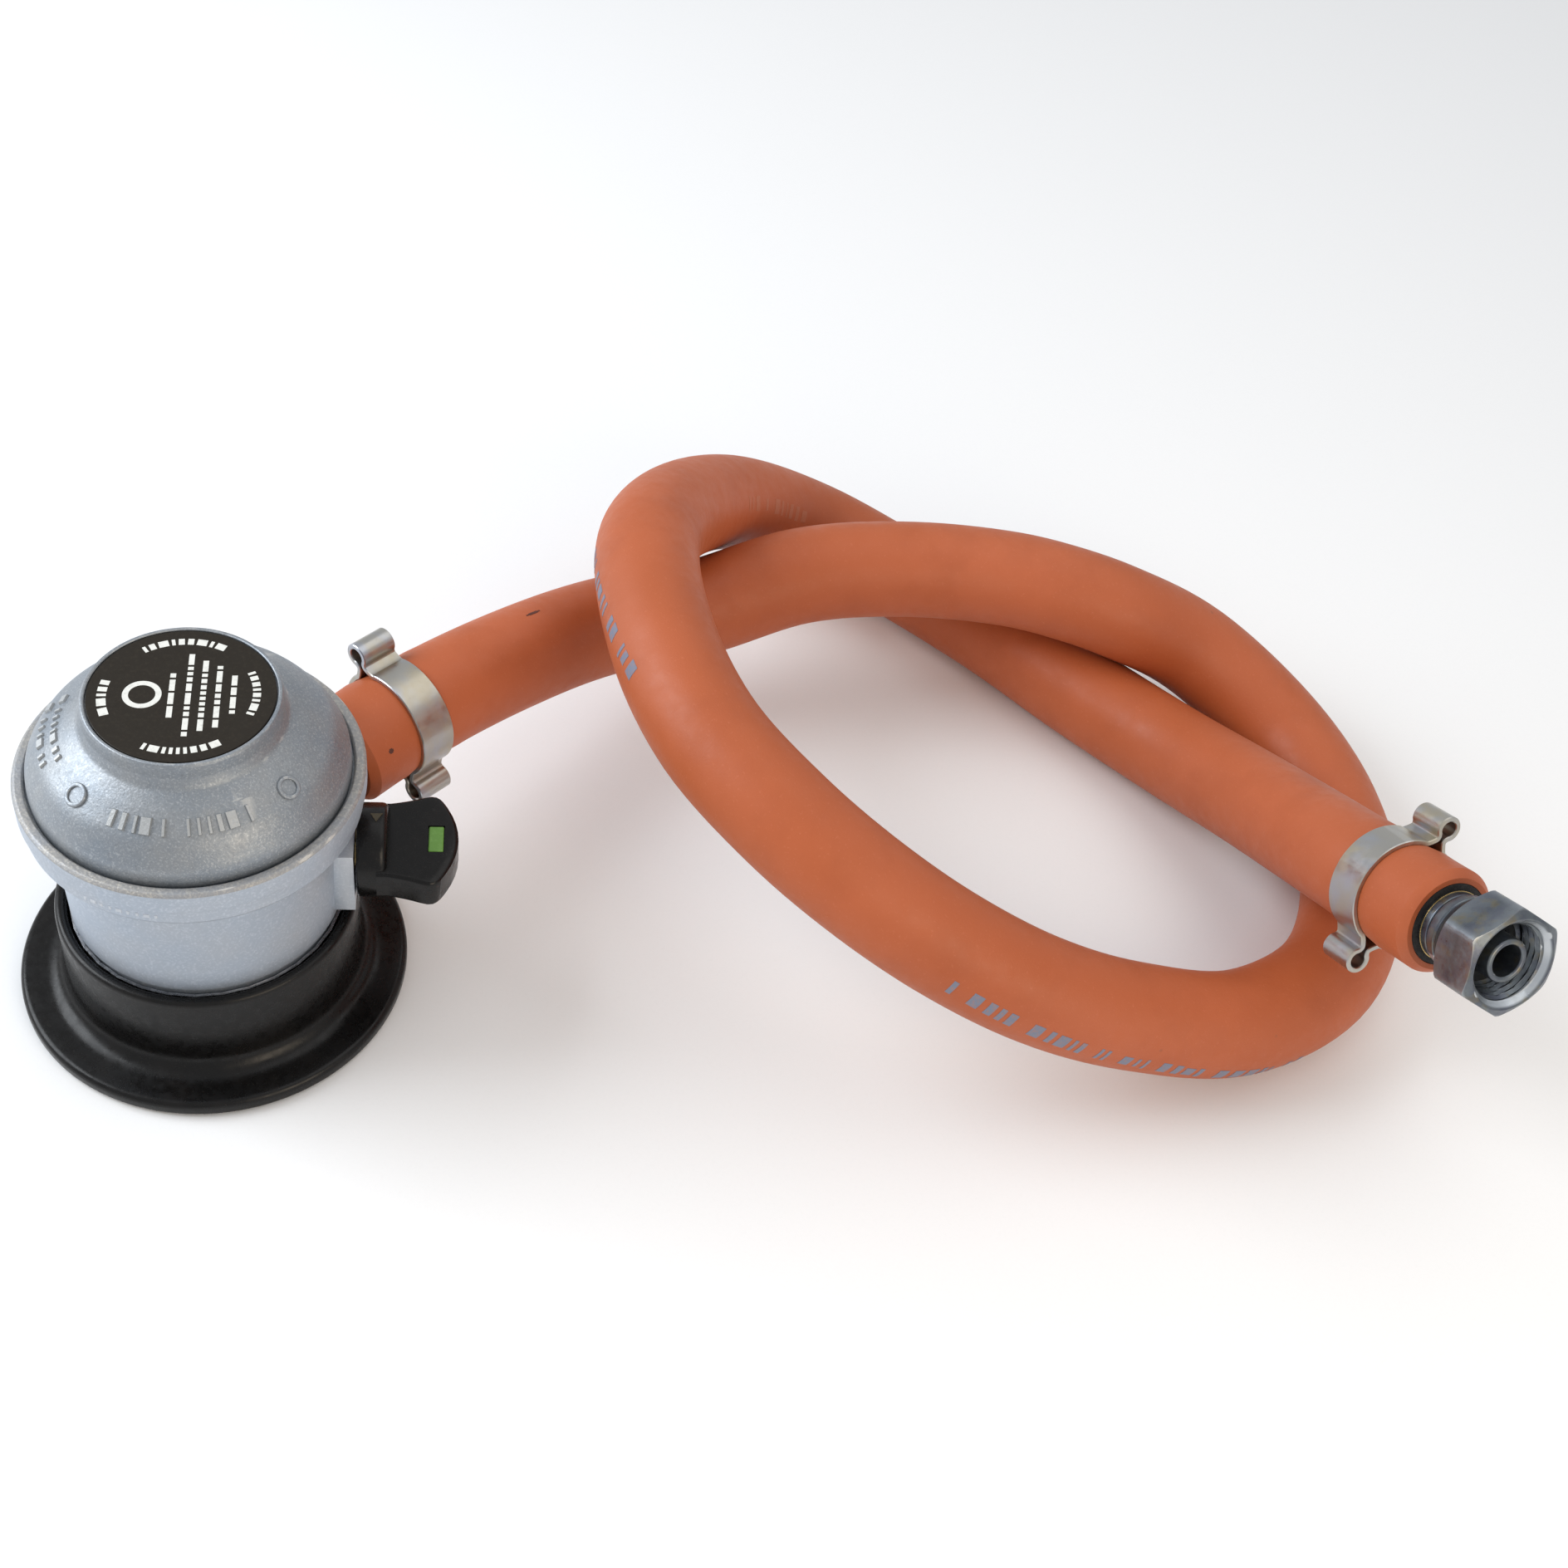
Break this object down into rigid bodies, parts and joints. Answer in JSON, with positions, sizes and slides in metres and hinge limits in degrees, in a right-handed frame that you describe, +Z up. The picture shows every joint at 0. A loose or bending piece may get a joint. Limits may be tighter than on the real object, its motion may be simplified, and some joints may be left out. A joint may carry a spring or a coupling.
{
  "type": "propane regulator hose",
  "caption": "Clip-on gas bottle regulator with a turn knob and a sliding lock ring, its rubber hose in a loose overhand knot, two-ear clamps and a swivel nut.",
  "frame": {"origin": "under the middle of the regulator with its knob and nozzle, on the surface that it stands on", "axes": "+Z up along the regulator axis, towards its cover; +Y along the outlet nozzle, towards the hose"},
  "size_m": [0.2137, 0.225, 0.0663],
  "materials": {
    "cast_blue_grey": "fine cast, lacquered",
    "cast_grey": "satin, fine orange peel",
    "black_plastic": "satin to gloss, moulded",
    "black_label": "plain printed disc",
    "zamak": "die cast",
    "steel": "plain",
    "rubber": "matt",
    "brass": "machined",
    "green_mark": "plain inlay",
    "red_mark": "plain inlay",
    "hose_rubber": "matt, ground finish with a faint pattern of bars",
    "zinc_plate": "yellowish bright zinc",
    "dark_zinc": "bright zinc, turned and chamfered"
  },
  "bodies": {
    "regulator": {"lower_body": "cast_blue_grey", "top_cover": "cast_grey", "label_disc": "black_label", "adjuster_plug": "zamak", "main_spring": "steel", "diaphragm": "rubber", "lever_pin": "steel", "inlet_jet": "brass", "pin_spring": "steel", "pin_seal": "rubber", "shaft_seal": "rubber", "outlet_nozzle": "brass", "hose": "hose_rubber", "near_clamp": "zinc_plate", "far_clamp": "zinc_plate", "hose_tail": "dark_zinc"},
    "knob_assembly": {"knob": "black_plastic", "cam_shaft": "brass", "knob_pin": "steel", "open_mark": "green_mark", "closed_mark": "red_mark"},
    "pin": {"opening_pin": "brass"},
    "lock_ring_assembly": {"lock_ring": "black_plastic", "lock_sleeve": "steel"},
    "diaphragm_centre": {"diaphragm_plate": "steel", "diaphragm_stem": "zamak", "stem_nut": "steel"},
    "lever": {"valve_lever": "steel", "valve_pad": "rubber"},
    "swivel_nut": {"swivel_nut": "dark_zinc"},
    "ball_1": {"lock_ball_1": "steel"},
    "ball_2": {"lock_ball_2": "steel"},
    "ball_3": {"lock_ball_3": "steel"},
    "ball_4": {"lock_ball_4": "steel"},
    "ball_5": {"lock_ball_5": "steel"},
    "ball_6": {"lock_ball_6": "steel"},
    "ball_7": {"lock_ball_7": "steel"},
    "ball_8": {"lock_ball_8": "steel"}
  },
  "joints": [
    {"name": "knob_turn", "type": "hinge", "parent": "regulator", "child": "knob_assembly", "pos_m": [0.02075, 0.01206, 0.0305], "axis": [0.7071, 0.7071, 0], "range_deg": [0, 180]},
    {"name": "pin_lift", "type": "slide", "parent": "regulator", "child": "pin", "axis": [0, 0, 1], "range_m": [0, 0.002], "deforming": ["pin_spring"]},
    {"name": "lock_ring_slide", "type": "slide", "parent": "regulator", "child": "lock_ring_assembly", "axis": [0, 0, 1], "range_m": [-0.005, 0]},
    {"name": "diaphragm_lift", "type": "slide", "parent": "regulator", "child": "diaphragm_centre", "axis": [0, 0, 1], "range_m": [0, 0.0015], "stiffness_N_per_m": 2000, "deforming": ["main_spring", "diaphragm"]},
    {"name": "lever_tilt", "type": "hinge", "parent": "regulator", "child": "lever", "pos_m": [-0.00996, -0.00915, 0.042], "axis": [0, -1, 0], "range_deg": [0, 9.1]},
    {"name": "nut_spin", "type": "hinge", "parent": "regulator", "child": "swivel_nut", "pos_m": [0.17171, 0.11102, 0.05174], "axis": [0.7879, -0.4395, 0.4313], "continuous": true},
    {"name": "ball_1_slide", "type": "slide", "parent": "regulator", "child": "ball_1", "axis": [0.9239, 0.3827, 0], "range_m": [-0.0014, 0]},
    {"name": "ball_2_slide", "type": "slide", "parent": "regulator", "child": "ball_2", "axis": [0.3827, 0.9239, 0], "range_m": [-0.0014, 0]},
    {"name": "ball_3_slide", "type": "slide", "parent": "regulator", "child": "ball_3", "axis": [-0.3827, 0.9239, 0], "range_m": [-0.0014, 0]},
    {"name": "ball_4_slide", "type": "slide", "parent": "regulator", "child": "ball_4", "axis": [-0.9239, 0.3827, 0], "range_m": [-0.0014, 0]},
    {"name": "ball_5_slide", "type": "slide", "parent": "regulator", "child": "ball_5", "axis": [-0.9239, -0.3827, 0], "range_m": [-0.0014, 0]},
    {"name": "ball_6_slide", "type": "slide", "parent": "regulator", "child": "ball_6", "axis": [-0.3827, -0.9239, 0], "range_m": [-0.0014, 0]},
    {"name": "ball_7_slide", "type": "slide", "parent": "regulator", "child": "ball_7", "axis": [0.3827, -0.9239, 0], "range_m": [-0.0014, 0]},
    {"name": "ball_8_slide", "type": "slide", "parent": "regulator", "child": "ball_8", "axis": [0.9239, -0.3827, 0], "range_m": [-0.0014, 0]}
  ],
  "couplings": [
    {"joint": "pin_lift", "follows": "knob_turn", "m_per_rad": 0.00063662},
    {"joint": "lever_tilt", "follows": "diaphragm_lift", "rad_per_m": 105},
    {"joint": "ball_1_slide", "follows": "lock_ring_slide", "ratio": 0.28},
    {"joint": "ball_2_slide", "follows": "lock_ring_slide", "ratio": 0.28},
    {"joint": "ball_3_slide", "follows": "lock_ring_slide", "ratio": 0.28},
    {"joint": "ball_4_slide", "follows": "lock_ring_slide", "ratio": 0.28},
    {"joint": "ball_5_slide", "follows": "lock_ring_slide", "ratio": 0.28},
    {"joint": "ball_6_slide", "follows": "lock_ring_slide", "ratio": 0.28},
    {"joint": "ball_7_slide", "follows": "lock_ring_slide", "ratio": 0.28},
    {"joint": "ball_8_slide", "follows": "lock_ring_slide", "ratio": 0.28}
  ]
}
